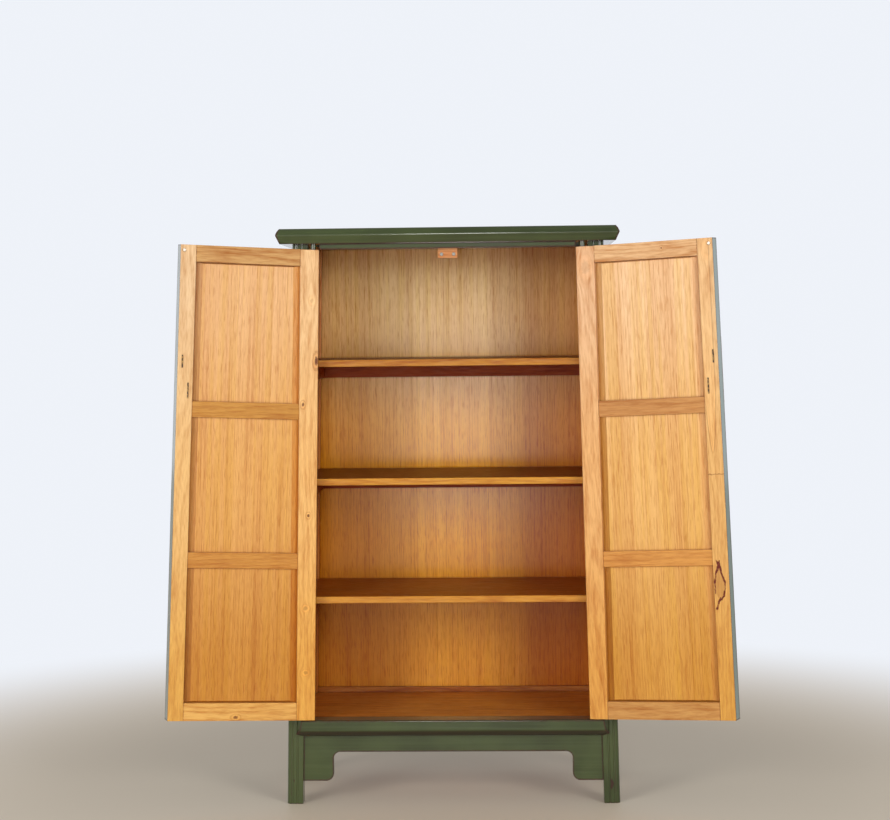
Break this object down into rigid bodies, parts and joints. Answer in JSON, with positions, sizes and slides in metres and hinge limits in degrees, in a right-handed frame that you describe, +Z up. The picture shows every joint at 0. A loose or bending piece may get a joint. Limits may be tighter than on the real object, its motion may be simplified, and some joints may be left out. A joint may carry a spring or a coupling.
{
  "type": "wedding cabinet",
  "caption": "Tapered Chinese wedding cabinet in worn green lacquer: moulded top, shelves on cleats, shaped aprons and framed doors on wooden pivots.",
  "frame": {"origin": "middle of the footprint of the cabinet with its doors open, on the floor", "axes": "+X to the cabinet's right as seen from the front, +Y to its back, +Z up"},
  "size_m": [1.3354, 0.514, 1.36],
  "materials": {
    "lacquer_green": "worn olive green lacquer, satin, rubbed to brown along its edges",
    "lacquer_dark": "dark green brown lacquer, satin",
    "door_wood": "golden varnished softwood",
    "door_battens": "redder varnished softwood",
    "back_wood": "golden brown varnished boards",
    "shelf_wood": "brown varnished wood",
    "cleat_wood": "dark red brown wood",
    "floor_wood": "reddish brown varnished wood",
    "brass": "aged, rubbed on its rims",
    "steel": "plain steel"
  },
  "bodies": {
    "carcass": {"apron_front": "lacquer_green", "apron_left": "lacquer_green", "apron_right": "lacquer_green", "back_bead": "floor_wood", "back_panel": "back_wood", "bottom_rail_back": "lacquer_green", "bottom_rail_front": "lacquer_green", "bottom_rail_left": "lacquer_green", "bottom_rail_right": "lacquer_green", "catch_block": "lacquer_dark", "catch_magnets": "steel", "cleat_back_lower": "cleat_wood", "cleat_back_middle": "cleat_wood", "cleat_back_upper": "cleat_wood", "cleats_side_lower": "cleat_wood", "cleats_side_middle": "cleat_wood", "cleats_side_upper": "cleat_wood", "floor_board": "floor_wood", "header_strip": "lacquer_dark", "post_back_left": "lacquer_green", "post_back_right": "lacquer_green", "post_front_left": "lacquer_green", "post_front_right": "lacquer_green", "shelf_lower": "shelf_wood", "shelf_middle": "shelf_wood", "shelf_upper": "shelf_wood", "side_panel_left": "lacquer_green", "side_panel_right": "lacquer_green", "top_batten_left": "lacquer_dark", "top_batten_right": "lacquer_dark", "top_frame_back": "lacquer_green", "top_frame_front": "lacquer_green", "top_frame_left": "lacquer_green", "top_frame_right": "lacquer_green", "top_panel": "lacquer_green"},
    "left_door": {"door_left_batten_lower": "door_battens", "door_left_batten_upper": "door_battens", "door_left_bottom_rail": "door_wood", "door_left_catch_screw": "steel", "door_left_hinge_stile": "door_wood", "door_left_lock_plate": "brass", "door_left_lock_staple": "brass", "door_left_meeting_stile": "door_wood", "door_left_panel": "door_wood", "door_left_pull_staple": "brass", "door_left_top_rail": "door_wood"},
    "left_pull": {"door_left_pull": "brass"},
    "right_door": {"door_right_batten_lower": "door_battens", "door_right_batten_upper": "door_battens", "door_right_bottom_rail": "door_wood", "door_right_catch_screw": "steel", "door_right_hinge_stile": "door_wood", "door_right_lock_plate": "brass", "door_right_lock_staple": "brass", "door_right_meeting_stile": "door_wood", "door_right_panel": "door_wood", "door_right_pull_staple": "brass", "door_right_top_rail": "door_wood"},
    "right_pull": {"door_right_pull": "brass"}
  },
  "joints": [
    {"name": "left_door_hinge", "type": "hinge", "parent": "carcass", "child": "left_door", "pos_m": [-0.33659, -0.14752, 0.203], "axis": [0.0227, 0, 0.9997], "range_deg": [-8, 167]},
    {"name": "right_door_hinge", "type": "hinge", "parent": "carcass", "child": "right_door", "pos_m": [0.34131, -0.14752, 0.203], "axis": [-0.0227, 0, 0.9997], "range_deg": [-163.5, 11.5]},
    {"name": "left_pull_swing", "type": "hinge", "parent": "left_door", "child": "left_pull", "pos_m": [-0.60538, -0.19715, 0.98809], "axis": [0.9734, 0.2249, -0.0448], "range_deg": [0, 80]},
    {"name": "right_pull_swing", "type": "hinge", "parent": "right_door", "child": "right_pull", "pos_m": [0.60655, -0.21455, 0.98801], "axis": [0.9578, -0.2839, 0.0444], "range_deg": [0, 80]}
  ]
}
